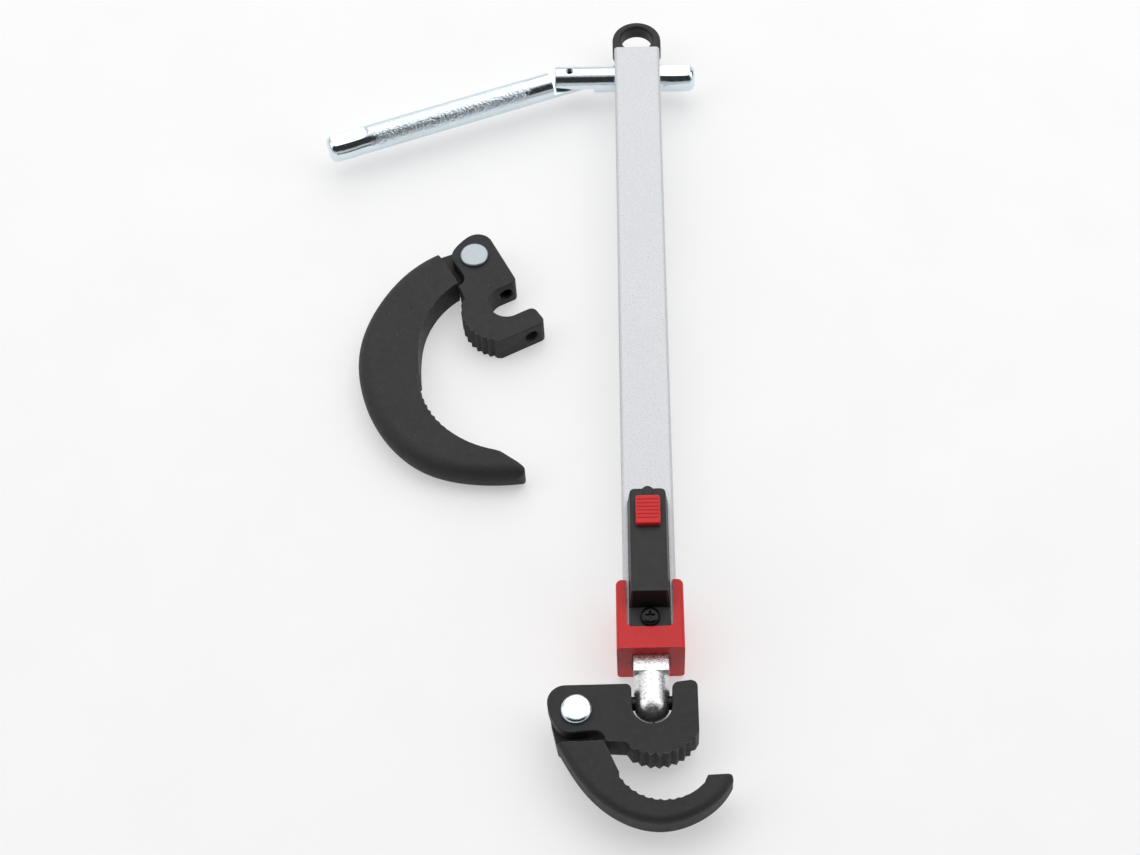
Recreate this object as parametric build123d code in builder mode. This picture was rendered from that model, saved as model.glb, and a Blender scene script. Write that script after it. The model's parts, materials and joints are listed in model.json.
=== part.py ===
"""Two-jaw telescoping basin wrench with a work light, lying on its back beside its second jaw.

Frame: +Y runs along the shaft from the head to the handle, +Z is up, and the origin is the middle
of the layout on the surface that it lies on. Millimetres.
"""

import os
from math import cos, radians, sin

from build123d import *

os.makedirs("parts", exist_ok=True)

# --- where the tool lies ------------------------------------------------------------------------
shaft_x = 51.41  # shaft centre line
head_y = -136.2  # axis of the quick-release pins, from which all other Y sizes are counted
shaft_z = 12.0  # shaft centre line above the surface

# --- shaft --------------------------------------------------------------------------------------
tube_side = 19.05  # 3/4 inch square tube
tube_bore = 13.0
tube_front = 18.1
tube_end = 298.0
bar_side = 12.7  # 1/2 inch square bar
bar_shoulder = 9.9
bar_end = 275.0
tongue_r = bar_side / 2
tongue_ball_y = -0.85  # centre of the tongue's round end
extension = 178.0  # full travel of the bar, 7 inches
drag_y = 255.0  # friction shoe that holds the length, bar pushed in
drag_bore_r = 3.3
guide_y = 34.0  # screw whose nose runs in the bar's groove and stops it at both ends
guide_r = 1.25
groove_depth = 2.0

# --- quick release ------------------------------------------------------------------------------
plunger_r = 2.5
plunger_tip = 10.1  # outer end of each pin, from the shaft's centre plane
bush_outer = 5.4
bush_inner = 4.0
release_bore_r = 3.1
jaw_hole_r = 2.6

# --- jaws ---------------------------------------------------------------------------------------
jaw_half = 6.0  # half the thickness of both jaws
rivet_x = -26.2
rivet_y = -4.35
tang_r = 9.2
pocket_r = 9.6
slot_half = 7.1
leg_outer = 16.0
slot_round_y = -2.7
tooth_count = 9
tooth_depth = 1.0
lap_gap = 0.15
large_x = -51.03  # the loose jaw's pin axis, from the shaft and from head_y
large_y = 174.81
large_turn = -62.86  # degrees

# --- handle -------------------------------------------------------------------------------------
rod_r = 5.55  # 7/16 inch rod
rod_y = 288.7
rod_right = 24.4
hinge_x = -28.6
rod_step = 10.1  # from the hinge pin to the full round of the rod
lap_end = 6.2
arm_step = 8.9
arm_tail = 9.8
arm_length = 106.7
fold = 20.1  # degrees from straight, as it lies
hinge_pin_r = 1.6

# --- collar -------------------------------------------------------------------------------------
collar_width = 24.0
collar_height = 24.0
collar_front = 15.9
collar_back = 43.4
notch_half = 8.25
notch_y = 24.1

# --- work light ---------------------------------------------------------------------------------
light_floor = shaft_z + tube_side / 2
light_half = 7.4
light_top_half = 6.45
light_top = light_floor + 10.5
foot_top = light_floor + 2.0
foot_front = 24.2
slope_low_y = 31.6
slope_high_y = 34.1
light_back_top = 75.4
light_back = 77.3
screw_y = 27.8
screw_head_r = 3.55
screw_shank_r = 1.5
wall = 1.1
switch_y = 65.7  # knob of the slide switch, switched off
switch_travel = 3.0
led_y = 39.1  # front of the diode's flange
led_z = light_floor + 5.4
cell_r = 3.9
cell_length = 3.5
cell_start = 44.6
base_top = light_floor + 1.2
board_y = 65.3
board_z = base_top + 1.0
board_top = board_z + 1.0
resistor_y = 60.0
slider_front = 59.8
slider_back = 71.5
slider_top = light_top + 2.1
slider_half = 4.45


def level(z):
    """Horizontal plane at height z, with X from the shaft and Y from the pin axis."""
    return Plane(origin=(shaft_x, head_y, z))


def across(y):
    """Plane across the shaft at y, facing the head, with its own Y upwards."""
    return Plane(origin=(shaft_x, head_y + y, shaft_z), x_dir=(1, 0, 0), z_dir=(0, -1, 0))


def beside(x):
    """Upright plane along the shaft at x, facing +X, with its own X along the shaft."""
    return Plane(origin=(shaft_x + x, head_y, 0), x_dir=(0, 1, 0), z_dir=(1, 0, 0))


def save(part, name):
    """Labels a finished piece and writes its STEP file."""
    part.label = name
    export_step(part, f"parts/{name}.step")


# === outer tube =================================================================================
with BuildPart() as outer_tube:
    with BuildSketch(across(tube_end)):
        RectangleRounded(tube_side, tube_side, 1.5)
        RectangleRounded(tube_bore, tube_bore, 0.4, mode=Mode.SUBTRACT)
    extrude(amount=tube_end - tube_front)
    with BuildSketch(beside(0)):
        with Locations((rod_y, shaft_z)):
            Circle(rod_r + 0.12)
    extrude(amount=tube_side, both=True, mode=Mode.SUBTRACT)
    with BuildSketch(level(0)):
        with Locations((0, guide_y)):
            Circle(guide_r + 0.05)
    extrude(amount=shaft_z - bar_side / 2, mode=Mode.SUBTRACT)
    with BuildSketch(level(shaft_z + bar_side / 2)):
        with Locations((0, screw_y)):
            Circle(screw_shank_r + 0.05)
    extrude(amount=tube_side / 2, mode=Mode.SUBTRACT)
save(outer_tube.part, "outer_tube")

# === end cap with its hanging eye ===============================================================
eye_half = 10.3
eye_centre = tube_end + 9.7
eye_hole_y = eye_centre + 0.7
eye_hole_r = 6.6
eye_thickness = 7.0
eye_neck = 8.6  # half width where the eye meets the tube

with BuildPart() as end_cap:
    with BuildSketch(level(shaft_z - eye_thickness / 2)):
        with BuildLine():
            Polyline(
                (-eye_neck, tube_end),
                (-eye_half, tube_end + 4.6),
                (-eye_half, eye_centre),
            )
            ThreePointArc((-eye_half, eye_centre), (0, eye_centre + eye_half), (eye_half, eye_centre))
            Polyline(
                (eye_half, eye_centre),
                (eye_half, tube_end + 4.6),
                (eye_neck, tube_end),
                (-eye_neck, tube_end),
            )
        make_face()
        with Locations((0, eye_hole_y)):
            Circle(eye_hole_r, mode=Mode.SUBTRACT)
    extrude(amount=eye_thickness)
    rims = end_cap.edges().filter_by(lambda e: e.center().Y > head_y + tube_end + 2)
    fillet(rims.group_by(Axis.Z)[0] + rims.group_by(Axis.Z)[-1], 1.1)
    with BuildSketch(across(tube_end)):
        RectangleRounded(tube_bore - 0.2, tube_bore - 0.2, 0.4)
    extrude(amount=3.2)
save(end_cap.part, "end_cap")

# === red collar =================================================================================
with BuildPart() as collar:
    with BuildSketch(across(collar_back)):
        RectangleRounded(collar_width, collar_height, 1.8)
    extrude(amount=collar_back - collar_front)
    corners = collar.edges().filter_by(Axis.Z)
    fillet(corners.group_by(Axis.Y)[-1], 2.2)
    with BuildSketch(across(collar_back)):
        RectangleRounded(tube_side + 0.1, tube_side + 0.1, 1.5)
    extrude(amount=collar_back - tube_front, mode=Mode.SUBTRACT)
    with BuildSketch(across(tube_front)):
        RectangleRounded(13.7, 13.7, 0.8)
    extrude(amount=tube_front - collar_front, mode=Mode.SUBTRACT)
    with BuildSketch(level(collar_height)):
        with Locations((0, (notch_y + collar_back + 8) / 2)):
            RectangleRounded(2 * notch_half, collar_back + 8 - notch_y, 2.4)
    extrude(amount=-3, mode=Mode.SUBTRACT)
    with BuildSketch(level(0)):
        with Locations((0, guide_y)):
            Circle(2.7)
    extrude(amount=1.7, taper=38, mode=Mode.SUBTRACT)
    with BuildSketch(level(0)):
        with Locations((0, guide_y)):
            Circle(guide_r + 0.02)
    extrude(amount=3, mode=Mode.SUBTRACT)
save(collar.part, "collar")

with BuildPart() as collar_screw:
    with BuildSketch(level(0.1)):
        with Locations((0, guide_y)):
            Circle(2.55)
    extrude(amount=1.5, taper=38)
    with BuildSketch(level(0.1)):
        with Locations((0, guide_y)):
            Circle(guide_r)
    extrude(amount=shaft_z - bar_side / 2 + groove_depth - 0.6)
    with BuildSketch(level(0.1)):
        with Locations((0, guide_y)):
            Rectangle(2.6, 0.6)
            Rectangle(0.6, 2.6)
    extrude(amount=0.8, mode=Mode.SUBTRACT)
save(collar_screw.part, "collar_screw")


# === work light =================================================================================
with BuildPart() as light_shell:
    with BuildSketch(beside(0)):
        with BuildLine():
            Polyline(
                (foot_front, light_floor),
                (foot_front, foot_top),
                (slope_low_y, foot_top),
                (slope_high_y, light_top),
                (light_back_top, light_top),
                (light_back, light_floor),
                close=True,
            )
        make_face()
    extrude(amount=light_half, both=True)
    light_length = light_back - foot_front
    top_length = light_back_top - foot_front
    with BuildSketch(level(light_floor)):
        with Locations((0, foot_front + light_length / 2)):
            RectangleRounded(2 * light_half, light_length, 2.0)
    with BuildSketch(level(light_top)):
        with Locations((0, foot_front + top_length / 2)):
            RectangleRounded(2 * light_top_half, top_length, 1.7)
    loft(mode=Mode.INTERSECT)
    roof = light_shell.faces().sort_by(Axis.Z)[-1]
    fillet(roof.edges().filter_by(lambda e: e.center().Y > head_y + slope_high_y + 1), 0.7)
    with BuildSketch(beside(0)):
        with BuildLine():
            Polyline(
                (slope_low_y + wall, light_floor),
                (slope_high_y + wall, light_top - wall),
                (light_back_top - wall, light_top - wall),
                (light_back - wall, light_floor),
                close=True,
            )
        make_face()
    extrude(amount=light_top_half - 0.9, both=True, mode=Mode.SUBTRACT)
    with BuildSketch(level(light_floor)):
        with Locations((0, screw_y)):
            Circle(screw_shank_r + 0.2)
    extrude(amount=foot_top, mode=Mode.SUBTRACT)
    with BuildSketch(level(light_top - wall)):
        with Locations((0, switch_y - switch_travel / 2)):
            Rectangle(4.2, switch_travel + 3.8)
    extrude(amount=2 * wall, mode=Mode.SUBTRACT)
    # lug on the rear top edge, kept out of the hollow inside
    with BuildSketch(level(light_top - 2.6)):
        with Locations((0, light_back_top - 1.3)):
            Circle(2.3)
    extrude(amount=2.95)
    lug_top = light_shell.faces().sort_by(Axis.Z)[-1]
    fillet(lug_top.edges(), 0.7)
    with BuildSketch(beside(0)):
        with BuildLine():
            Polyline(
                (light_back_top - wall, light_top - wall),
                (light_back_top - wall, light_floor),
                (light_back_top - 6, light_floor),
                (light_back_top - 6, light_top - wall),
                close=True,
            )
        make_face()
    extrude(amount=light_top_half - 0.9, both=True, mode=Mode.SUBTRACT)

# The window lies in the slope; its own plane has Y up the slope and faces out.
slope = Plane(
    origin=(shaft_x, head_y + (slope_low_y + slope_high_y) / 2, (foot_top + light_top) / 2),
    x_dir=(1, 0, 0),
    z_dir=(0, -(light_top - foot_top), slope_high_y - slope_low_y),
)
window_reach = 4.0
window_low_half = 6.5
window_high_half = 5.8


def window_outline(inset):
    """Trapezium of the smoked window, pulled in by inset."""
    return [
        (-window_low_half + inset, -window_reach + inset),
        (window_low_half - inset, -window_reach + inset),
        (window_high_half - inset, window_reach - inset),
        (-window_high_half + inset, window_reach - inset),
    ]


with BuildPart() as light_window:
    with BuildSketch(slope.offset(0.15)):
        with BuildLine():
            Polyline(*window_outline(0.06), close=True)
        make_face()
    extrude(amount=-0.75)
    fillet(light_window.edges().filter_by(Axis(slope.origin, slope.z_dir)), 0.5)
save(light_window.part, "light_window")

with BuildPart() as window_seat:
    with BuildSketch(slope.offset(2)):
        with BuildLine():
            Polyline(*window_outline(0), close=True)
        make_face()
    extrude(amount=-2.62)
    with BuildSketch(slope):
        with BuildLine():
            Polyline(*window_outline(1.2), close=True)
        make_face()
    extrude(amount=-3)

with BuildPart() as light_housing:
    add(light_shell.part)
    add(window_seat.part, mode=Mode.SUBTRACT)
save(light_housing.part, "light_housing")

with BuildPart() as light_base:
    with BuildSketch(level(light_floor + 0.02)):
        with Locations((0, 54)):
            RectangleRounded(2 * (light_top_half - 1.05), 40, 0.6)
    extrude(amount=base_top - light_floor)
save(light_base.part, "light_base")

with BuildPart() as housing_screw:
    with BuildSketch(level(foot_top)):
        with Locations((0, screw_y)):
            Circle(screw_head_r)
    extrude(amount=2.1)
    fillet(housing_screw.edges().group_by(Axis.Z)[-1], 1.5)
    with BuildSketch(level(foot_top + 2.2)):
        with Locations((0, screw_y)):
            Rectangle(3.4, 0.75)
            Rectangle(0.75, 3.4)
            Rectangle(1.5, 1.5, rotation=45)
    extrude(amount=-1.5, taper=8, mode=Mode.SUBTRACT)
    with BuildSketch(level(foot_top)):
        with Locations((0, screw_y)):
            Circle(screw_shank_r)
    extrude(amount=-4.6)
save(housing_screw.part, "housing_screw")

# === inside the light ===========================================================================
with BuildPart() as led:
    with BuildSketch(across(led_y - 0.9)):
        with Locations((0, led_z - shaft_z)):
            Circle(1.5)
    extrude(amount=2.4)
    fillet(led.edges().group_by(Axis.Y)[0], 1.3)
    with BuildSketch(across(led_y)):
        with Locations((0, led_z - shaft_z)):
            Circle(1.9)
    extrude(amount=1.0)
    with BuildSketch(across(led_y + 3.9)):
        with Locations((-0.9, led_z - shaft_z), (0.9, led_z - shaft_z)):
            Rectangle(0.45, 0.45)
    extrude(amount=4.0)
save(led.part, "led")

cell_z = base_top + 0.1 + cell_r
with BuildPart() as button_cells:
    for place in range(3):
        back = cell_start + (place + 1) * (cell_length + 0.05)
        with BuildSketch(across(back)):
            with Locations((0, cell_z - shaft_z)):
                Circle(cell_r)
        extrude(amount=cell_length - 0.3)
        with BuildSketch(across(back)):
            with Locations((0, cell_z - shaft_z)):
                Circle(cell_r - 0.9)
        extrude(amount=cell_length)
save(button_cells.part, "button_cells")

for label, back, turn in (
    ("contact_positive", cell_start - 0.1, -1),
    ("contact_negative", cell_start + 3 * cell_length + 0.75, 1),
):
    with BuildPart() as contact:
        with BuildSketch(across(back)):
            with Locations((0, cell_z - shaft_z)):
                Rectangle(6.0, 7.2)
        extrude(amount=0.35)
        with BuildSketch(level(base_top + 0.1)):
            with Locations((0, back - 0.175 + turn * 0.9)):
                Rectangle(6.0, 1.8)
        extrude(amount=0.35)
    save(contact.part, label)

with BuildPart() as circuit_board:
    with BuildSketch(level(board_z)):
        with Locations((0, board_y)):
            RectangleRounded(9.8, 14.6, 0.5)
        with Locations((-3.6, resistor_y), (3.6, resistor_y)):
            Circle(0.5, mode=Mode.SUBTRACT)
    extrude(amount=board_top - board_z)
    with BuildSketch(level(board_z)):
        with Locations((-3.6, board_y + 6.1), (3.6, board_y + 6.1)):
            Circle(0.6)
    extrude(amount=-0.95)
save(circuit_board.part, "circuit_board")

with BuildPart() as led_resistor:
    with BuildSketch(beside(-2.0)):
        with Locations((resistor_y, board_top + 1.0)):
            Circle(0.85)
    extrude(amount=4.0)
    fillet(led_resistor.edges().group_by(Axis.X)[0] + led_resistor.edges().group_by(Axis.X)[-1], 0.4)
    with BuildSketch(beside(-3.6)):
        with Locations((resistor_y, board_top + 1.0)):
            Circle(0.22)
    extrude(amount=7.2)
    with BuildSketch(level(board_top + 0.05)):
        with Locations((-3.45, resistor_y), (3.45, resistor_y)):
            Circle(0.22)
    extrude(amount=1.0)
save(led_resistor.part, "led_resistor")

switch_top = board_top + 3.4
with BuildPart() as switch_body:
    with BuildSketch(level(board_top)):
        with Locations((0, switch_y + 0.1)):
            RectangleRounded(7.6, 9.4, 0.5)
    extrude(amount=switch_top - board_top)
    with BuildSketch(level(switch_top)):
        with Locations((0, switch_y - switch_travel / 2)):
            Rectangle(2.6, switch_travel + 2.6)
    extrude(amount=-1.8, mode=Mode.SUBTRACT)
save(switch_body.part, "switch_body")

with BuildPart() as switch_knob:
    with BuildSketch(level(switch_top - 1.6)):
        with Locations((0, switch_y)):
            Rectangle(2.2, 1.9)
    extrude(amount=3.3)
save(switch_knob.part, "switch_knob")

with BuildPart() as switch_slider:
    with BuildSketch(level(light_top + 0.15)):
        with Locations((0, (slider_front + slider_back) / 2)):
            RectangleRounded(2 * slider_half, slider_back - slider_front, 1.0)
    extrude(amount=slider_top - light_top - 0.15)
    fillet(switch_slider.edges().group_by(Axis.Z)[-1], 0.5)
    with BuildSketch(level(switch_top + 0.2)):
        with Locations((0, switch_y)):
            Rectangle(3.7, 3.2)
    extrude(amount=light_top + 0.2 - switch_top)
    with BuildSketch(level(switch_top)):
        with Locations((0, switch_y)):
            Rectangle(2.3, 2.0)
    extrude(amount=1.8, mode=Mode.SUBTRACT)
    for rib in range(6):
        with BuildSketch(beside(0)):
            with Locations((slider_front + 2.1 + 1.5 * rib, slider_top + 0.5)):
                Circle(0.7)
        extrude(amount=slider_half - 0.5, both=True, mode=Mode.SUBTRACT)
save(switch_slider.part, "switch_slider")

# === telescoping bar ============================================================================
bar_floor = shaft_z - bar_side / 2
drag_roof = shaft_z + 2.6
with BuildPart() as inner_bar:
    with BuildSketch(across(bar_end)):
        RectangleRounded(bar_side, bar_side, 0.5)
    extrude(amount=bar_end - bar_shoulder)
    chamfer(inner_bar.edges().group_by(Axis.Y)[-1], 0.5)
    with BuildSketch(beside(0)):
        with BuildLine():
            Polyline(
                (bar_shoulder + 1, shaft_z),
                (bar_shoulder + 1, shaft_z + tongue_r),
                (tongue_ball_y, shaft_z + tongue_r),
            )
            RadiusArc(
                (tongue_ball_y, shaft_z + tongue_r), (tongue_ball_y - tongue_r, shaft_z), -tongue_r
            )
            Line((tongue_ball_y - tongue_r, shaft_z), (bar_shoulder + 1, shaft_z))
        make_face()
    revolve(axis=Axis((shaft_x, head_y, shaft_z), (0, 1, 0)))
    with BuildSketch(beside(0)):
        with Locations((0, shaft_z)):
            Circle(release_bore_r)
    extrude(amount=bar_side, both=True, mode=Mode.SUBTRACT)
    with BuildSketch(level(0)):
        with Locations((0, drag_y)):
            Circle(drag_bore_r)
    extrude(amount=drag_roof, mode=Mode.SUBTRACT)
    with BuildSketch(level(0)):
        with Locations((0, guide_y + extension / 2)):
            SlotCenterToCenter(extension, 2 * guide_r + 0.7, rotation=90)
    extrude(amount=bar_floor + groove_depth, mode=Mode.SUBTRACT)
save(inner_bar.part, "inner_bar")

# === friction shoe ==============================================================================
shoe_low = shaft_z - tube_bore / 2 + 0.02
shoe_high = shoe_low + 1.6
with BuildPart() as drag_shoe:
    with BuildSketch(level(shoe_low)):
        with Locations((0, drag_y)):
            Circle(drag_bore_r - 0.1)
    extrude(amount=shoe_high - shoe_low)
    chamfer(drag_shoe.edges().group_by(Axis.Z)[0], 0.3)
    with BuildSketch(level(shoe_high)):
        with Locations((0, drag_y)):
            Circle(0.85)
    extrude(amount=2.0)
save(drag_shoe.part, "drag_shoe")


def coil_spring(start, direction, radius, wire_r, length, turns):
    """Helical spring whose wire's centre line starts at the plane through start."""
    with BuildPart() as spring:
        with BuildLine(Plane.XY) as line:
            Helix(pitch=length / turns, height=length, radius=radius, center=start, direction=direction)
        with BuildSketch(Plane(origin=line.line @ 0, z_dir=line.line % 0)):
            Circle(wire_r)
        sweep(path=line.line, is_frenet=True)
    return spring.part


spring_low = (shaft_x, head_y + drag_y, shoe_high + 0.3)
save(coil_spring(spring_low, (0, 0, 1), 1.25, 0.25, drag_roof - shoe_high - 0.6, 7), "drag_spring")

# === quick-release pins =========================================================================
for label, hand in (("left", -1), ("right", 1)):
    with BuildPart() as plunger:
        with BuildSketch(beside(hand * 3.4)):
            with Locations((0, shaft_z)):
                Circle(release_bore_r - 0.1)
        extrude(amount=hand * 0.55)
        with BuildSketch(beside(hand * 3.4)):
            with Locations((0, shaft_z)):
                Circle(plunger_r)
        extrude(amount=hand * (plunger_tip - 3.4))
        fillet(plunger.edges().group_by(Axis.X)[-1 if hand > 0 else 0], 0.5)
        with BuildSketch(beside(hand * 3.4)):
            with Locations((0, shaft_z)):
                Circle(1.7)
        extrude(amount=hand * 5.0, mode=Mode.SUBTRACT)
    save(plunger.part, f"plunger_{label}")
    with BuildPart() as bush:
        with BuildSketch(beside(hand * bush_inner)):
            with Locations((0, shaft_z)):
                Circle(release_bore_r - 0.03)
                Circle(plunger_r + 0.06, mode=Mode.SUBTRACT)
        extrude(amount=hand * (bush_outer - bush_inner))
    save(bush.part, f"plunger_bush_{label}")

save(
    coil_spring((shaft_x - 8.1, head_y, shaft_z), (1, 0, 0), 1.2, 0.22, 16.2, 12),
    "plunger_spring",
)


# === jaws =======================================================================================
def polar(radius, angle):
    """Point at a radius and an angle in degrees."""
    return (radius * cos(radians(angle)), radius * sin(radians(angle)))


def nose_teeth():
    """Saw teeth along the base's round nose: a spiral of tips with a valley before each next tip."""
    points = []
    for tooth in range(tooth_count):
        for part_way, drop in ((0, 0), (0.45, tooth_depth)):
            turn = tooth + part_way
            x, y = polar(17.6 - 0.325 * turn - drop, -126.4 + 10.72 * turn)
            points.append((3.4 + x, -5.3 + y))
    return points[:-1]


def jaw_base(plane):
    """Toothed base with its U slot, boss and half lap for the hook."""
    with BuildPart() as base:
        with BuildSketch(plane.offset(-jaw_half)):
            with BuildLine():
                teeth = nose_teeth()
                Polyline(*teeth)
                Polyline(teeth[-1], (leg_outer, -13.0), (leg_outer, 3.7))
                ThreePointArc((leg_outer, 3.7), (15.3, 5.5), (13.6, 6.2))
                Polyline((13.6, 6.2), (9.4, 5.7))
                ThreePointArc((9.4, 5.7), (7.8, 4.9), (slot_half, 3.3))
                Line((slot_half, 3.3), (slot_half, slot_round_y))
                ThreePointArc(
                    (slot_half, slot_round_y),
                    (0, slot_round_y - slot_half),
                    (-slot_half, slot_round_y),
                )
                Line((-slot_half, slot_round_y), (-slot_half, 3.0))
                ThreePointArc((-slot_half, 3.0), (-7.7, 4.6), (-9.0, 5.2))
                Line((-9.0, 5.2), (-30.1, 5.1))
                corner = TangentArc((-30.1, 5.1), (-36.3, -2.2), tangent=(-1, 0))
                flank = TangentArc(corner @ 1, (-33.2, -10.1), tangent=corner % 1)
                heel = TangentArc(flank @ 1, (-27.2, -12.8), tangent=flank % 1)
                sole = TangentArc(heel @ 1, (-20.0, -12.3), tangent=heel % 1)
                waist = TangentArc(sole @ 1, (-16.4, -15.3), tangent=sole % 1)
                Polyline(waist @ 1, (-16.0, -16.1), (-9.0, -16.6), teeth[0])
            make_face()
        extrude(amount=2 * jaw_half)
        rim = base.edges().filter_by(
            lambda e: e.length > 1.95 and plane.to_local_coords(e.center()).Y > -13.7
        )
        fillet(rim.group_by(Axis.Z)[-1] + rim.group_by(Axis.Z)[0], 0.45)
        # lower half cut away under the boss, so the hook's tang turns there
        with BuildSketch(plane.offset(-jaw_half)):
            with Locations((rivet_x, rivet_y)):
                Circle(pocket_r)
            with Locations((-40, -16)):
                Rectangle(40 + rivet_x, 24, align=Align.MIN)
        extrude(amount=jaw_half, mode=Mode.SUBTRACT)
        with BuildSketch(plane):
            with Locations((rivet_x, rivet_y)):
                Circle(5.7)
        extrude(amount=1.65, mode=Mode.SUBTRACT)
        with BuildSketch(plane):
            with Locations((rivet_x, rivet_y)):
                Circle(3.7)
        extrude(amount=1.65)
        with BuildSketch(plane):
            with Locations((rivet_x, rivet_y)):
                Circle(3.05)
        extrude(amount=jaw_half, mode=Mode.SUBTRACT)
        # cross holes for the quick-release pins
        with BuildSketch(Plane(origin=plane.origin, x_dir=plane.y_dir, z_dir=plane.x_dir)):
            Circle(jaw_hole_r)
        extrude(amount=20, both=True, mode=Mode.SUBTRACT)
        for mouth, inward in ((-slot_half, -1), (slot_half, 1), (leg_outer, -1)):
            place = plane.from_local_coords((mouth, 0, 0))
            with BuildSketch(Plane(origin=place, x_dir=plane.y_dir, z_dir=plane.x_dir * inward)):
                Circle(jaw_hole_r + 0.6)
            extrude(amount=0.6, taper=45, mode=Mode.SUBTRACT)
    return base.part


def jaw_hook(plane, outer, tip, inner, tooth_places, tooth_r, edge_round, tip_round, tip_rim, tip_reach):
    """Curved hook: full thickness below the step, a half-thickness tang round the rivet."""
    with BuildPart() as hook:
        with BuildSketch(plane.offset(-jaw_half)):
            with BuildLine():
                Spline(*outer)
                Polyline(outer[-1], *tip, inner[0])
                Spline(*inner)
                Line(inner[-1], outer[0])
            make_face()
        extrude(amount=2 * jaw_half)
        nose = plane.from_local_coords((*tip[0], 0))
        fillet(hook.edges().filter_by(Axis.Z).sort_by_distance(nose)[0], tip_round)
        back = hook.faces().filter_by(GeomType.PLANE, reverse=True).sort_by(SortBy.AREA)[-1]
        fillet(back.edges().group_by(Axis.Z)[-1] + back.edges().group_by(Axis.Z)[0], edge_round)
        with BuildSketch(plane.offset(-jaw_half)):
            with Locations(*tooth_places):
                Circle(tooth_r)
        extrude(amount=2 * jaw_half, mode=Mode.SUBTRACT)
        with BuildSketch(plane.offset(-jaw_half)):
            with Locations((rivet_x, rivet_y)):
                Circle(tang_r)
            with BuildLine():
                Polyline(
                    (-35.25, -5.9),
                    outer[0],
                    (outer[0][0] + 2, outer[0][1] - 2),
                    (-19.8, -17.5),
                    (-18.4, -15.5),
                    (-20.4, -14.1),
                    (-22.2, -12.7),
                    close=True,
                )
            make_face()
        extrude(amount=jaw_half - lap_gap)
        with BuildSketch(plane.offset(-lap_gap)):
            with Locations((rivet_x, rivet_y)):
                Circle(5.7)
                Circle(3.7, mode=Mode.SUBTRACT)
        extrude(amount=-1.6, mode=Mode.SUBTRACT)
        with BuildSketch(plane.offset(-jaw_half)):
            with Locations((rivet_x, rivet_y)):
                Circle(3.1)
        extrude(amount=jaw_half, mode=Mode.SUBTRACT)
        with BuildSketch(plane.offset(-jaw_half)):
            with Locations((rivet_x, rivet_y)):
                Circle(4.6)
        extrude(amount=1.5, taper=45, mode=Mode.SUBTRACT)
        centres = [(edge, plane.to_local_coords(edge.center())) for edge in hook.edges()]
        rims = [
            edge
            for edge, centre in centres
            if centre.X > tip[0][0] - tip_reach and abs(abs(centre.Z) - jaw_half) < 0.02
        ]
        fillet(rims, tip_rim)
    return hook.part


def jaw_rivet(plane, head_height, head_round):
    """Headed rivet, peened into a countersink at its lower end."""
    with BuildPart() as rivet:
        with BuildSketch(plane.offset(jaw_half)):
            with Locations((rivet_x, rivet_y)):
                Circle(5.6)
        extrude(amount=head_height)
        fillet(rivet.edges().group_by(Axis.Z)[-1], head_round)
        with BuildSketch(plane.offset(jaw_half)):
            with Locations((rivet_x, rivet_y)):
                Circle(3.0)
        extrude(amount=-2 * jaw_half + 0.05)
        with BuildSketch(plane.offset(-jaw_half + 0.05)):
            with Locations((rivet_x, rivet_y)):
                Circle(4.4)
        extrude(amount=1.4, taper=45)
    return rivet.part


def jaw_spring(plane):
    """Torsion spring in the ring-shaped pocket between boss and tang."""
    start = plane.from_local_coords((rivet_x, rivet_y, -1.05))
    return coil_spring(start, (0, 0, 1), 4.7, 0.42, 2.1, 2)


small_plane = level(shaft_z)
large_plane = Plane(
    origin=(shaft_x + large_x, head_y + large_y, jaw_half),
    x_dir=(cos(radians(large_turn)), sin(radians(large_turn)), 0),
    z_dir=(0, 0, 1),
)

small_outer = [
    (-32.9, -16.2),
    (-30.5, -20.7),
    (-22.7, -32.5),
    (-10.4, -42.4),
    (2.3, -45.6),
    (15.1, -42.3),
    (24.5, -34.7),
    (27.1, -30.6),
]
small_tip = [(26.6, -28.6), (18.6, -28.9)]
small_inner = [(17.1, -31.9), (3.7, -37.4), (-8.8, -31.8), (-14.3, -21.6), (-17.1, -15.9)]
small_teeth = [
    (3.7 + polar(17.4 - 1.6, angle)[0], -20.0 + polar(17.4 - 1.6, angle)[1])
    for angle in [-148 + 9.6 * tooth for tooth in range(12)]
]

large_outer = [
    (-36.3, -16.6),
    (-34.6, -28.2),
    (-25.6, -46.5),
    (-9.4, -62.5),
    (11.2, -70.3),
    (32.5, -70.7),
    (51.1, -63.8),
    (64.5, -49.9),
    (72.5, -35.0),
]
large_tip = [(73.4, -29.2), (68.6, -30.8)]
large_inner = [
    (61.0, -34.6),
    (47.9, -46.4),
    (35.3, -50.7),
    (22.2, -49.9),
    (8.2, -45.0),
    (-5.7, -36.7),
    (-13.7, -26.9),
    (-17.5, -15.9),
]
large_teeth = [
    (29.1 + polar(35.2 - 1.5, angle)[0], -15.7 + polar(35.2 - 1.5, angle)[1])
    for angle in [-112 + 4.9 * tooth for tooth in range(17)]
]

small_rounds = (2.6, 1.2, 1.0, 5)
large_rounds = (5.4, 2.4, 2.0, 9)

for label, plane, outer, tip, inner, places, rounds, head, head_round in (
    ("small", small_plane, small_outer, small_tip, small_inner, small_teeth, small_rounds, 1.9, 1.7),
    ("large", large_plane, large_outer, large_tip, large_inner, large_teeth, large_rounds, 1.3, 0.7),
):
    save(jaw_base(plane), f"{label}_jaw_base")
    save(jaw_hook(plane, outer, tip, inner, places, 2.2, *rounds), f"{label}_jaw_hook")
    save(jaw_rivet(plane, head, head_round), f"{label}_jaw_rivet")
    save(jaw_spring(plane), f"{label}_jaw_spring")

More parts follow.
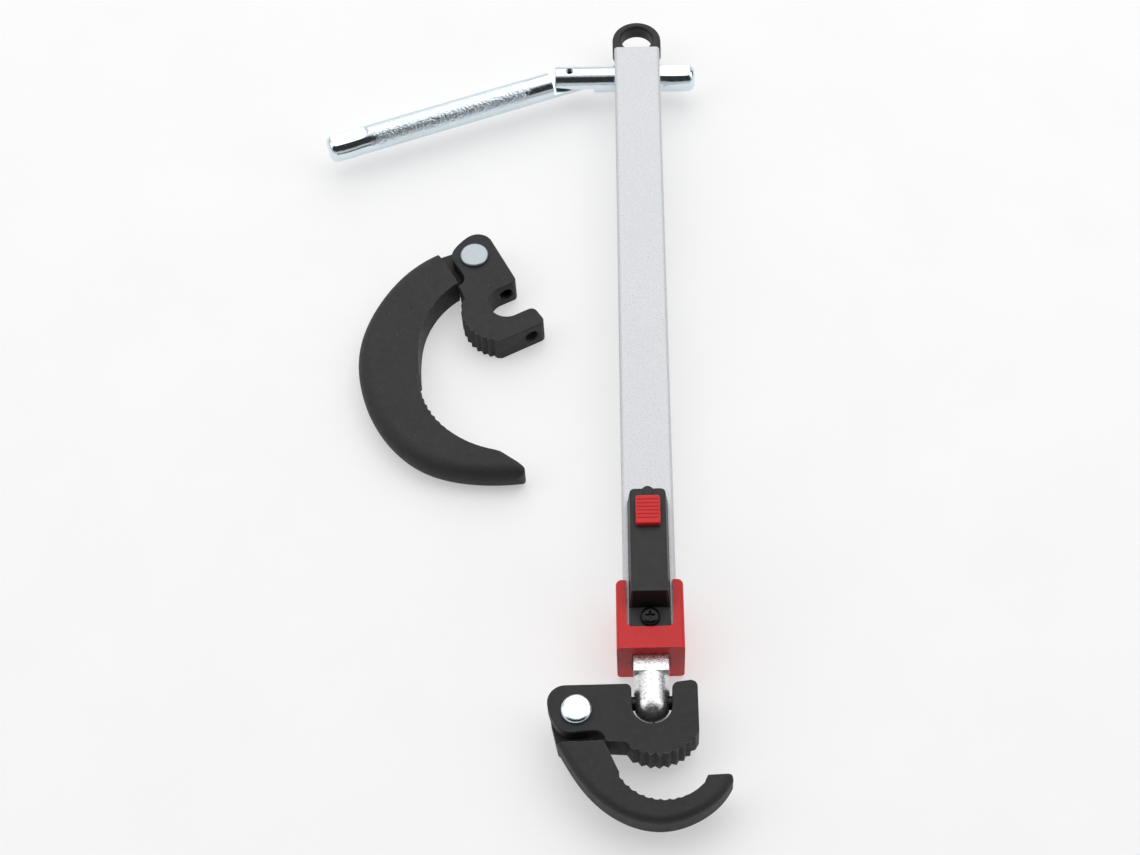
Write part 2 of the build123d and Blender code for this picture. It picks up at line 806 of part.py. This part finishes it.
# === folding handle =============================================================================
flat_z = 4.75  # half the height left by the pressed flats
pinch_half = 5.8  # half the width that pressing them leaves
pinch_length = 10.0
pinch_inset = 3.4  # from the rod's end to the flats
press_in_r = 14.0  # rounded shoulders of the press tool, towards the hinge and towards the end
press_out_r = 3.0
press_reach = 30  # degrees of each shoulder


def pinch_bulge(plane):
    """Stretch of rod squeezed wider sideways; plane is at its start and faces the rod's end."""
    with BuildPart() as bulge:
        for offset, half in ((0, rod_r), (pinch_length / 2, pinch_half), (pinch_length, rod_r)):
            with BuildSketch(plane.offset(offset)):
                Ellipse(half, rod_r)
        loft()
    return bulge.part


def press_tool(plane, hand):
    """Cutter for one flat; plane stands along the rod, its X counted from the flat's start."""
    in_centre = (0, hand * (flat_z + press_in_r))
    out_centre = (pinch_length, hand * (flat_z + press_out_r))
    with BuildPart() as tool:
        with BuildSketch(plane):
            with BuildLine():
                Line((0, hand * flat_z), (pinch_length, hand * flat_z))
                shoulder = CenterArc(in_centre, press_in_r, -90 * hand, -press_reach * hand)
                nose = CenterArc(out_centre, press_out_r, -90 * hand, 90 * hand)
                Polyline(
                    shoulder @ 1,
                    ((shoulder @ 1).X, hand * (flat_z + press_out_r)),
                    nose @ 1,
                )
            make_face()
        extrude(amount=8, both=True)
    return tool.part


hinge = Plane(origin=(shaft_x + hinge_x, head_y + rod_y, shaft_z))

with BuildPart() as handle_rod:
    with BuildSketch(beside(hinge_x + rod_step)):
        with Locations((rod_y, shaft_z)):
            Circle(rod_r)
    extrude(amount=rod_right - hinge_x - rod_step)
    fillet(handle_rod.edges().group_by(Axis.X)[-1], 3.0)
    pinch_start = rod_right - pinch_inset - pinch_length
    pinch_at = (shaft_x + pinch_start, head_y + rod_y, shaft_z)
    add(pinch_bulge(Plane(origin=pinch_at, x_dir=(0, 1, 0), z_dir=(1, 0, 0))))
    for hand in (-1, 1):
        rod_flat = Plane(origin=pinch_at, x_dir=(1, 0, 0), z_dir=(0, -1, 0))
        add(press_tool(rod_flat, hand), mode=Mode.SUBTRACT)
    with BuildSketch(beside(hinge_x - lap_end)):
        with Locations((rod_y, shaft_z)):
            Circle(rod_r)
            Rectangle(2 * rod_r, rod_r + 0.1, align=(Align.CENTER, Align.MAX), mode=Mode.SUBTRACT)
        with Locations((rod_y, shaft_z)):
            Rectangle(2 * rod_r, 0.1, align=(Align.CENTER, Align.MIN), mode=Mode.SUBTRACT)
    extrude(amount=lap_end + rod_step)
    chamfer(handle_rod.edges().group_by(Axis.X)[0], 0.35)
    with BuildSketch(hinge.offset(-6)):
        Circle(hinge_pin_r + 0.01)
    extrude(amount=12, mode=Mode.SUBTRACT)
save(handle_rod.part, "handle_rod")

arm_dir = (-cos(radians(fold)), -sin(radians(fold)), 0)
arm_plan = Plane(origin=hinge.origin, x_dir=arm_dir, z_dir=(0, 0, 1))
arm_side = Plane(origin=hinge.origin, x_dir=arm_plan.y_dir, z_dir=arm_dir)

with BuildPart() as handle_arm:
    with BuildSketch(arm_side.offset(-arm_tail)):
        Circle(rod_r)
    extrude(amount=arm_length + arm_tail)
    tip_end = handle_arm.faces().filter_by(GeomType.PLANE).sort_by(Axis(hinge.origin, arm_dir))[-1]
    fillet(tip_end.edges(), 3.0)
    arm_pinch = arm_side.offset(arm_length - pinch_inset - pinch_length)
    add(pinch_bulge(arm_pinch))
    for hand in (-1, 1):
        arm_flat = Plane(origin=arm_pinch.origin, x_dir=arm_dir, z_dir=-arm_plan.y_dir)
        add(press_tool(arm_flat, hand), mode=Mode.SUBTRACT)
    # the lap: upper half removed up to the step, tail rounded in plan
    with BuildSketch(arm_plan.offset(-0.1)):
        with Locations((-arm_tail - 1, 0)):
            Rectangle(arm_tail + 1 + arm_step, 12, align=(Align.MIN, Align.CENTER))
    extrude(amount=6, mode=Mode.SUBTRACT)
    with BuildSketch(arm_plan.offset(-7)):
        with Locations((-arm_tail - 1, 0)):
            Rectangle(1 + rod_r, 12, align=(Align.MIN, Align.CENTER))
        with Locations((rod_r - arm_tail, 0)):
            Circle(rod_r, mode=Mode.SUBTRACT)
    extrude(amount=14, mode=Mode.SUBTRACT)
    with BuildSketch(arm_plan.offset(-6)):
        Circle(hinge_pin_r + 0.06)
    extrude(amount=12, mode=Mode.SUBTRACT)
save(handle_arm.part, "handle_arm")

with BuildPart() as hinge_pin:
    with BuildSketch(hinge.offset(-4.8)):
        Circle(hinge_pin_r)
        Circle(hinge_pin_r - 0.5, mode=Mode.SUBTRACT)
        with Locations((hinge_pin_r, 0)):
            Rectangle(1.6, 0.45, mode=Mode.SUBTRACT)
    extrude(amount=9.2)
save(hinge_pin.part, "hinge_pin")
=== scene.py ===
import json
from math import cos, radians, sin

import bpy
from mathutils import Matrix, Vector

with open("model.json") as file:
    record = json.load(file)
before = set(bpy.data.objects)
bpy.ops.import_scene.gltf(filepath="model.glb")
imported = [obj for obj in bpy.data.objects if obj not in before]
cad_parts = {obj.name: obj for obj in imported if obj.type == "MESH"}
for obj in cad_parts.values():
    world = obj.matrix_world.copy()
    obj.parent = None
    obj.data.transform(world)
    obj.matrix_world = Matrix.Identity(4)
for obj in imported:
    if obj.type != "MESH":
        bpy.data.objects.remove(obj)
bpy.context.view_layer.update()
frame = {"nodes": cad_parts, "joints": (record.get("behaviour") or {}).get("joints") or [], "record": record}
nodes = frame["nodes"]
joints = {j["name"]: j for j in frame["joints"]}
pin = Vector(joints["jaw_flip"]["pos_m"])  # where the shaft's centre line meets the quick-release pins

MM = 0.001

PLATE = (0.74, 0.84, 0.89)  # bluish zinc
SKIN_FADE = 5.0  # mm over which the arm's coarse skin fades out
SKIN_FROM_HINGE = 22 * MM
SKIN_FROM_TIP = 24 * MM

# floor, metres
FLOOR_REACH = 1.6
FLOOR_CURVE = 0.5  # radius of the curve behind the tool
FLOOR_TOP = 2.2
FLOOR_HALF_WIDTH = 2.6
FLOOR_STEPS = 12
FLOOR_GLOW = 0.42

# studio
SKY = 0.62
DARK_SHARE = 0.95  # of the sky's light that is missing in its dark parts
DARK_RISE = 46  # degrees above the camera-side horizon, middle of the unlit band
DARK_HALF = 29
GAP_TOWARDS = Vector((0.80, 0.53, 0.28)).normalized()

# camera
TILT = radians(58)  # below the horizon
TURN = radians(-1.29)  # heading, from the shaft's own line
CAMERA_LEFT = 5.42 * MM  # of the quick-release pins' middle
CAMERA_BACK = 288.11 * MM
CAMERA_HEIGHT = 655 * MM
SENSOR = 36
FOCAL = 63.16
FRAME_SHIFT = -0.0746  # brings the tool right of the frame's middle


# --- materials ----------------------------------------------------------------------------------
class Material:
    """A Principled material and short calls for the nodes that feed it."""

    def __init__(self, name, **sockets):
        self.data = bpy.data.materials.new(name)
        self.data.use_nodes = True
        self.tree = self.data.node_tree
        self.bsdf = self.tree.nodes["Principled BSDF"]
        self.coords = self.tree.nodes.new("ShaderNodeTexCoord").outputs["Object"]
        for socket, value in sockets.items():
            self.bsdf.inputs[socket.replace("_", " ")].default_value = value

    def link(self, output, socket):
        self.tree.links.new(output, self.bsdf.inputs[socket])

    def noise(self, size_mm, detail=3.0, rough=0.55, distortion=0.0):
        """Noise whose blotches are about size_mm across."""
        node = self.tree.nodes.new("ShaderNodeTexNoise")
        node.inputs["Scale"].default_value = 1 / (size_mm * MM)
        node.inputs["Detail"].default_value = detail
        node.inputs["Roughness"].default_value = rough
        node.inputs["Distortion"].default_value = distortion
        self.tree.links.new(self.coords, node.inputs["Vector"])
        return node.outputs["Fac"]

    def ramp(self, value, *stops):
        """Colour ramp; each stop is (position, grey or colour)."""
        node = self.tree.nodes.new("ShaderNodeValToRGB")
        points = node.color_ramp.elements
        while len(points) < len(stops):
            points.new(0.5)
        for point, (place, colour) in zip(points, stops):
            point.position = place
            grey = isinstance(colour, (int, float))
            point.color = (colour, colour, colour, 1) if grey else (*colour, 1)
        self.tree.links.new(value, node.inputs["Fac"])
        return node.outputs["Color"]

    def mix(self, factor, first, second):
        """Mixes two colours; each is an output or a colour."""
        node = self.tree.nodes.new("ShaderNodeMix")
        node.data_type = "RGBA"
        for socket, value in ((node.inputs[0], factor), (node.inputs[6], first), (node.inputs[7], second)):
            if isinstance(value, bpy.types.NodeSocket):
                self.tree.links.new(value, socket)
            elif isinstance(value, (int, float)):
                socket.default_value = value
            else:
                socket.default_value = (*value, 1)
        return node.outputs[2]

    def edges(self, radius_mm, low, high):
        """0 on flat ground, 1 along convex and concave edges, from a rounded normal."""
        bevel = self.tree.nodes.new("ShaderNodeBevel")
        bevel.samples = 6
        bevel.inputs["Radius"].default_value = radius_mm * MM
        geometry = self.tree.nodes.new("ShaderNodeNewGeometry")
        dot = self.tree.nodes.new("ShaderNodeVectorMath")
        dot.operation = "DOT_PRODUCT"
        self.tree.links.new(bevel.outputs["Normal"], dot.inputs[0])
        self.tree.links.new(geometry.outputs["Normal"], dot.inputs[1])
        return self.ramp(dot.outputs["Value"], (low, 1.0), (high, 0.0))

    def between(self, start, end, soft_mm):
        """1 along the line from start to end, fading to 0 over soft_mm outside each."""
        middle, reach = (start + end) / 2, (end - start) / 2
        offset = self.tree.nodes.new("ShaderNodeVectorMath")
        offset.operation = "SUBTRACT"
        offset.inputs[1].default_value = middle
        self.tree.links.new(self.coords, offset.inputs[0])
        along = self.tree.nodes.new("ShaderNodeVectorMath")
        along.operation = "DOT_PRODUCT"
        along.inputs[1].default_value = reach.normalized()
        self.tree.links.new(offset.outputs["Vector"], along.inputs[0])
        size = self.tree.nodes.new("ShaderNodeMath")
        size.operation = "ABSOLUTE"
        self.tree.links.new(along.outputs["Value"], size.inputs[0])
        fade = self.tree.nodes.new("ShaderNodeMapRange")
        fade.inputs["From Min"].default_value = reach.length
        fade.inputs["From Max"].default_value = reach.length + soft_mm * MM
        fade.inputs["To Min"].default_value = 1.0
        fade.inputs["To Max"].default_value = 0.0
        self.tree.links.new(size.outputs["Value"], fade.inputs["Value"])
        return fade.outputs["Result"]

    def bump(self, height, strength, depth_mm, under=None):
        """Bump from a height; under is the normal it is laid on."""
        node = self.tree.nodes.new("ShaderNodeBump")
        node.inputs["Strength"].default_value = strength
        node.inputs["Distance"].default_value = depth_mm * MM
        self.tree.links.new(height, node.inputs["Height"])
        if under:
            self.tree.links.new(under, node.inputs["Normal"])
        return node.outputs["Normal"]


def hammered_paint():
    """Silver hammered enamel: fine dimples in a pale grey, with sparse darker specks."""
    m = Material("hammered_paint", Metallic=0.30, Specular_IOR_Level=0.4)
    grain = m.noise(0.55, 4, 0.7)
    dark, middle, pale = (0.42, 0.425, 0.44), (0.625, 0.64, 0.665), (0.70, 0.715, 0.74)
    tone = m.ramp(grain, (0.30, dark), (0.44, middle), (0.70, pale))
    speck = m.ramp(m.noise(0.8, 3, 0.6), (0.66, 0.0), (0.76, 0.55))
    specked = m.mix(speck, tone, (0.30, 0.30, 0.31))
    clouds = m.ramp(m.noise(22, 2), (0.35, 0.0), (0.65, 0.10))
    m.link(m.mix(clouds, specked, (0.56, 0.57, 0.59)), "Base Color")
    m.link(m.ramp(m.noise(0.8, 3), (0.3, 0.38), (0.7, 0.55)), "Roughness")
    dimples = m.bump(m.noise(1.1, 2, 0.5), 0.6, 0.14)
    m.link(m.bump(grain, 0.4, 0.06, dimples), "Normal")
    return m.data


def moulded(name, colour, edge_wear_and_highlight, rough, grain_mm=0.35, depth_mm=0.02):
    """Moulded plastic with a fine grain and painted highlights: its edges are painted paler."""
    m = Material(name, Specular_IOR_Level=0.35)
    # painted highlight: the plastic is painted paler along its convex and concave edges
    edge_highlighted = m.mix(m.edges(0.4, 0.90, 0.99), colour, edge_wear_and_highlight)
    clouds = m.ramp(m.noise(9, 3), (0.35, 0.0), (0.7, 0.25))
    m.link(m.mix(clouds, edge_highlighted, [c * 0.8 for c in colour]), "Base Color")
    m.link(m.ramp(m.noise(3, 4), (0.3, rough - 0.06), (0.7, rough + 0.07)), "Roughness")
    m.link(m.bump(m.noise(grain_mm, 3, 0.6), 0.4, depth_mm), "Normal")
    return m.data


def phosphate():
    """Matt black phosphate over a cast surface, with bare metal showing on knocked edges."""
    m = Material("phosphate", Specular_IOR_Level=0.30)
    tone = m.ramp(m.noise(1.1, 5, 0.65), (0.32, (0.019, 0.019, 0.0205)), (0.70, (0.031, 0.031, 0.033)))
    broad = m.mix(m.ramp(m.noise(16, 3), (0.38, 0.0), (0.68, 0.5)), tone, (0.030, 0.030, 0.031))
    chips = m.ramp(m.noise(0.7, 4, 0.7), (0.48, 0.0), (0.58, 0.9))
    edge_wear_and_highlight = m.mix(m.edges(0.4, 0.80, 0.95), (0, 0, 0), chips)
    specks = m.ramp(m.noise(0.9, 2, 0.5), (0.735, 0.0), (0.76, 0.6))
    m.link(m.mix(specks, m.mix(edge_wear_and_highlight, broad, (0.22, 0.22, 0.22)), (0.15, 0.15, 0.15)), "Base Color")
    m.link(m.mix(edge_wear_and_highlight, (0.0, 0.0, 0.0), (0.7, 0.7, 0.7)), "Metallic")
    m.link(m.ramp(m.noise(2.2, 4), (0.3, 0.54), (0.7, 0.68)), "Roughness")
    cast = m.bump(m.noise(1.6, 3), 0.35, 0.08)
    m.link(m.bump(m.noise(0.30, 3, 0.65), 0.5, 0.03, cast), "Normal")
    return m.data


def plated(name, colour, rough, peel, rough_from=None, rough_to=None):
    """Bright zinc plate; its skin is coarse between two places along a bar, where these are given."""
    m = Material(name, Metallic=1.0)
    clouds = m.ramp(m.noise(6, 4), (0.35, 0.0), (0.75, 0.35))
    m.link(m.mix(clouds, colour, [c * 0.88 for c in colour]), "Base Color")
    m.link(m.ramp(m.noise(1.2, 4, 0.6), (0.3, rough - 0.04), (0.7, rough + 0.08)), "Roughness")
    if rough_from:
        skin = m.between(rough_from, rough_to, SKIN_FADE)
        under = m.bump(m.mix(skin, (0.5, 0.5, 0.5), m.noise(1.0, 3, 0.6)), 1.0, 0.42)
    else:
        under = m.bump(m.noise(1.0, 4, 0.6), peel, 0.06)
    m.link(m.bump(m.noise(2.8, 2, 0.5, distortion=0.4), peel, 0.10, under), "Normal")
    return m.data


def flake_silver():
    """Coarse bright flake over steel, mottled dark where it turns away."""
    m = Material("flake_silver", Metallic=0.95)
    m.link(m.ramp(m.noise(1.0, 4, 0.6), (0.30, (0.42, 0.42, 0.43)), (0.48, (0.80, 0.80, 0.81))), "Base Color")
    m.link(m.ramp(m.noise(0.9, 3), (0.3, 0.22), (0.7, 0.36)), "Roughness")
    m.link(m.bump(m.noise(1.0, 4, 0.6), 0.8, 0.13), "Normal")
    return m.data


def plain(name, colour, rough, metallic=0.0, grain_mm=0.6):
    """Small inner pieces: one colour with mottling and a fine grain."""
    m = Material(name, Metallic=metallic)
    clouds = m.ramp(m.noise(1.5, 3), (0.3, 0.0), (0.7, 0.3))
    m.link(m.mix(clouds, colour, [c * 0.7 for c in colour]), "Base Color")
    m.link(m.ramp(m.noise(1.0, 3), (0.3, rough - 0.05), (0.7, rough + 0.08)), "Roughness")
    m.link(m.bump(m.noise(grain_mm, 2), 0.3, 0.02), "Normal")
    return m.data


def clear(name, tint, rough):
    """Translucent plastic."""
    m = Material(name, Transmission_Weight=0.6, IOR=1.5)
    m.link(m.mix(m.ramp(m.noise(2, 2), (0.3, 0.0), (0.7, 0.2)), tint, [c * 0.8 for c in tint]), "Base Color")
    m.link(m.ramp(m.noise(1.5, 2), (0.3, rough), (0.7, rough + 0.06)), "Roughness")
    return m.data


looks = {
    "hammer_paint": hammered_paint(),
    "black_plastic": moulded("black_plastic", (0.018, 0.018, 0.0195), (0.075, 0.075, 0.077), 0.50),
    "red_plastic": moulded("red_plastic", (0.61, 0.014, 0.017), (0.68, 0.040, 0.042), 0.42),
    "smoked_window": moulded("smoked_window", (0.005, 0.005, 0.0055), (0.010, 0.010, 0.010), 0.36, 2.0, 0.01),
    "black_screw": plain("black_screw", (0.012, 0.012, 0.013), 0.20, 0.7),
    "plated_steel": plated("plated_steel", PLATE, 0.14, 0.35),
    "satin_zinc": plated("satin_zinc", (0.36, 0.40, 0.42), 0.34, 0.25),
    "phosphate": phosphate(),
    "bar_steel": flake_silver(),
    "spring_steel": plain("spring_steel", (0.42, 0.42, 0.43), 0.3, 1.0),
    "black_pin": plain("black_pin", (0.02, 0.02, 0.022), 0.35, 0.5),
    "brass": plain("brass", (0.72, 0.50, 0.22), 0.28, 1.0),
    "board": plain("board", (0.02, 0.17, 0.06), 0.45),
    "cell_steel": plain("cell_steel", (0.75, 0.75, 0.74), 0.22, 1.0),
    "contact_metal": plain("contact_metal", (0.70, 0.66, 0.55), 0.28, 1.0),
    "led_lens": clear("led_lens", (0.90, 0.92, 0.95), 0.08),
    "resistor_body": plain("resistor_body", (0.66, 0.52, 0.32), 0.35),
    "switch_case": plain("switch_case", (0.03, 0.03, 0.033), 0.5),
}

slot_of = {s["node"]: s["material_slot"] for s in frame["record"]["subparts"]}

# the folding arm's skin is coarse from its hinge to the pressed flats near its tip
hinge = Vector(joints["handle_fold"]["pos_m"])
corners = [nodes["handle_arm"].matrix_world @ Vector(c) for c in nodes["handle_arm"].bound_box]
arm_tip = Vector((min(c.x for c in corners), min(c.y for c in corners), hinge.z))
arm_line = (arm_tip - hinge).normalized()
skin_start = hinge + arm_line * SKIN_FROM_HINGE
skin_end = arm_tip - arm_line * SKIN_FROM_TIP
arm_steel = plated("arm_steel", PLATE, 0.14, 0.35, skin_start, skin_end)


def paint(obj, look):
    """Gives a piece one material."""
    obj.data.materials.clear()
    obj.data.materials.append(look)


for name, node in nodes.items():
    paint(node, arm_steel if name == "handle_arm" else looks[slot_of[name]])


# --- floor, light and camera --------------------------------------------------------------------
def make_floor():
    """Large pale floor, glowing faintly, that curves up behind the tool."""
    profile = [(-FLOOR_REACH, 0.0), (FLOOR_REACH, 0.0)]
    for step in range(1, FLOOR_STEPS + 1):
        turned = radians(90 * step / FLOOR_STEPS)
        profile.append((FLOOR_REACH + FLOOR_CURVE * sin(turned), FLOOR_CURVE - FLOOR_CURVE * cos(turned)))
    profile.append((FLOOR_REACH + FLOOR_CURVE, FLOOR_TOP))
    mesh = bpy.data.meshes.new("floor")
    points = [(side * FLOOR_HALF_WIDTH, y, z) for y, z in profile for side in (-1, 1)]
    faces = [(2 * n, 2 * n + 1, 2 * n + 3, 2 * n + 2) for n in range(len(profile) - 1)]
    mesh.from_pydata(points, [], faces)
    floor = bpy.data.objects.new("floor", mesh)
    bpy.context.scene.collection.objects.link(floor)
    for polygon in mesh.polygons:
        polygon.use_smooth = True
    m = Material("floor_acrylic", Emission_Color=(1, 1, 1, 1), Emission_Strength=FLOOR_GLOW)
    m.link(m.ramp(m.noise(60, 3), (0.3, (0.54, 0.54, 0.54)), (0.7, (0.56, 0.56, 0.56))), "Base Color")
    m.link(m.ramp(m.noise(20, 3), (0.3, 0.75), (0.7, 0.85)), "Roughness")
    paint(floor, m.data)


def soft_light(name, place, aim, size, power):
    """Square softbox at place, facing aim."""
    data = bpy.data.lights.new(name, "AREA")
    data.shape = "SQUARE"
    data.size = size
    data.energy = power
    light = bpy.data.objects.new(name, data)
    light.location = place
    light.rotation_euler = (Vector(aim) - Vector(place)).to_track_quat("-Z", "Y").to_euler()
    bpy.context.scene.collection.objects.link(light)


def make_sky():
    """White studio with its unlit camera side, and a dark gap on its right, for bright metal to mirror."""
    world = bpy.data.worlds.new("studio")
    bpy.context.scene.world = world
    world.use_nodes = True
    tree = world.node_tree

    def math(operation, first, second=None, clamp=False):
        node = tree.nodes.new("ShaderNodeMath")
        node.operation = operation
        node.use_clamp = clamp
        for socket, value in zip(node.inputs, (first, second)):
            if isinstance(value, bpy.types.NodeSocket):
                tree.links.new(value, socket)
            elif value is not None:
                socket.default_value = value
        return node.outputs[0]

    direction = tree.nodes.new("ShaderNodeTexCoord").outputs["Generated"]
    axes = tree.nodes.new("ShaderNodeSeparateXYZ")
    tree.links.new(direction, axes.inputs[0])
    rise = math("ARCTAN2", axes.outputs["Z"], math("MULTIPLY", axes.outputs["Y"], -1.0))
    off_middle = math("ABSOLUTE", math("SUBTRACT", rise, radians(DARK_RISE)))
    band = math("MULTIPLY", math("SUBTRACT", radians(DARK_HALF), off_middle), 12.0, clamp=True)
    front = math("MULTIPLY", math("SUBTRACT", 0.80, math("ABSOLUTE", axes.outputs["X"])), 8.0, clamp=True)
    dot = tree.nodes.new("ShaderNodeVectorMath")
    dot.operation = "DOT_PRODUCT"
    dot.inputs[1].default_value = GAP_TOWARDS
    tree.links.new(direction, dot.inputs[0])
    gap = math("MULTIPLY", math("SUBTRACT", dot.outputs["Value"], 0.86), 14.0, clamp=True)
    dark = math("MAXIMUM", math("MULTIPLY", band, front), gap)
    background = tree.nodes["Background"]
    background.inputs["Color"].default_value = (1, 1, 1, 1)
    brightness = math("SUBTRACT", SKY, math("MULTIPLY", dark, SKY * DARK_SHARE))
    tree.links.new(brightness, background.inputs["Strength"])


def make_camera():
    """Camera over the shaft's line, in front of the head, 58 degrees down and a little turned from it."""
    place = Vector((pin.x - CAMERA_LEFT, pin.y - CAMERA_BACK, CAMERA_HEIGHT))
    aim = Vector((-sin(TURN) * cos(TILT), cos(TURN) * cos(TILT), -sin(TILT)))
    data = bpy.data.cameras.new("camera")
    data.sensor_width = SENSOR
    data.lens = FOCAL
    data.shift_x = FRAME_SHIFT
    data.clip_start = 0.01
    camera = bpy.data.objects.new("camera", data)
    camera.location = place
    camera.rotation_euler = aim.to_track_quat("-Z", "Y").to_euler()
    bpy.context.scene.collection.objects.link(camera)
    bpy.context.scene.camera = camera


make_floor()
make_sky()
soft_light("back_softbox", (0.1, 0.75, 1.15), (0, 0, 0), 1.7, 10)
soft_light("left_softbox", (-0.9, 0.0, 0.8), (0, 0, 0), 0.9, 2.5)
soft_light("right_softbox", (0.9, 0.1, 0.8), (0, 0, 0), 0.9, 2.5)
make_camera()
bpy.context.scene.view_settings.view_transform = "Standard"
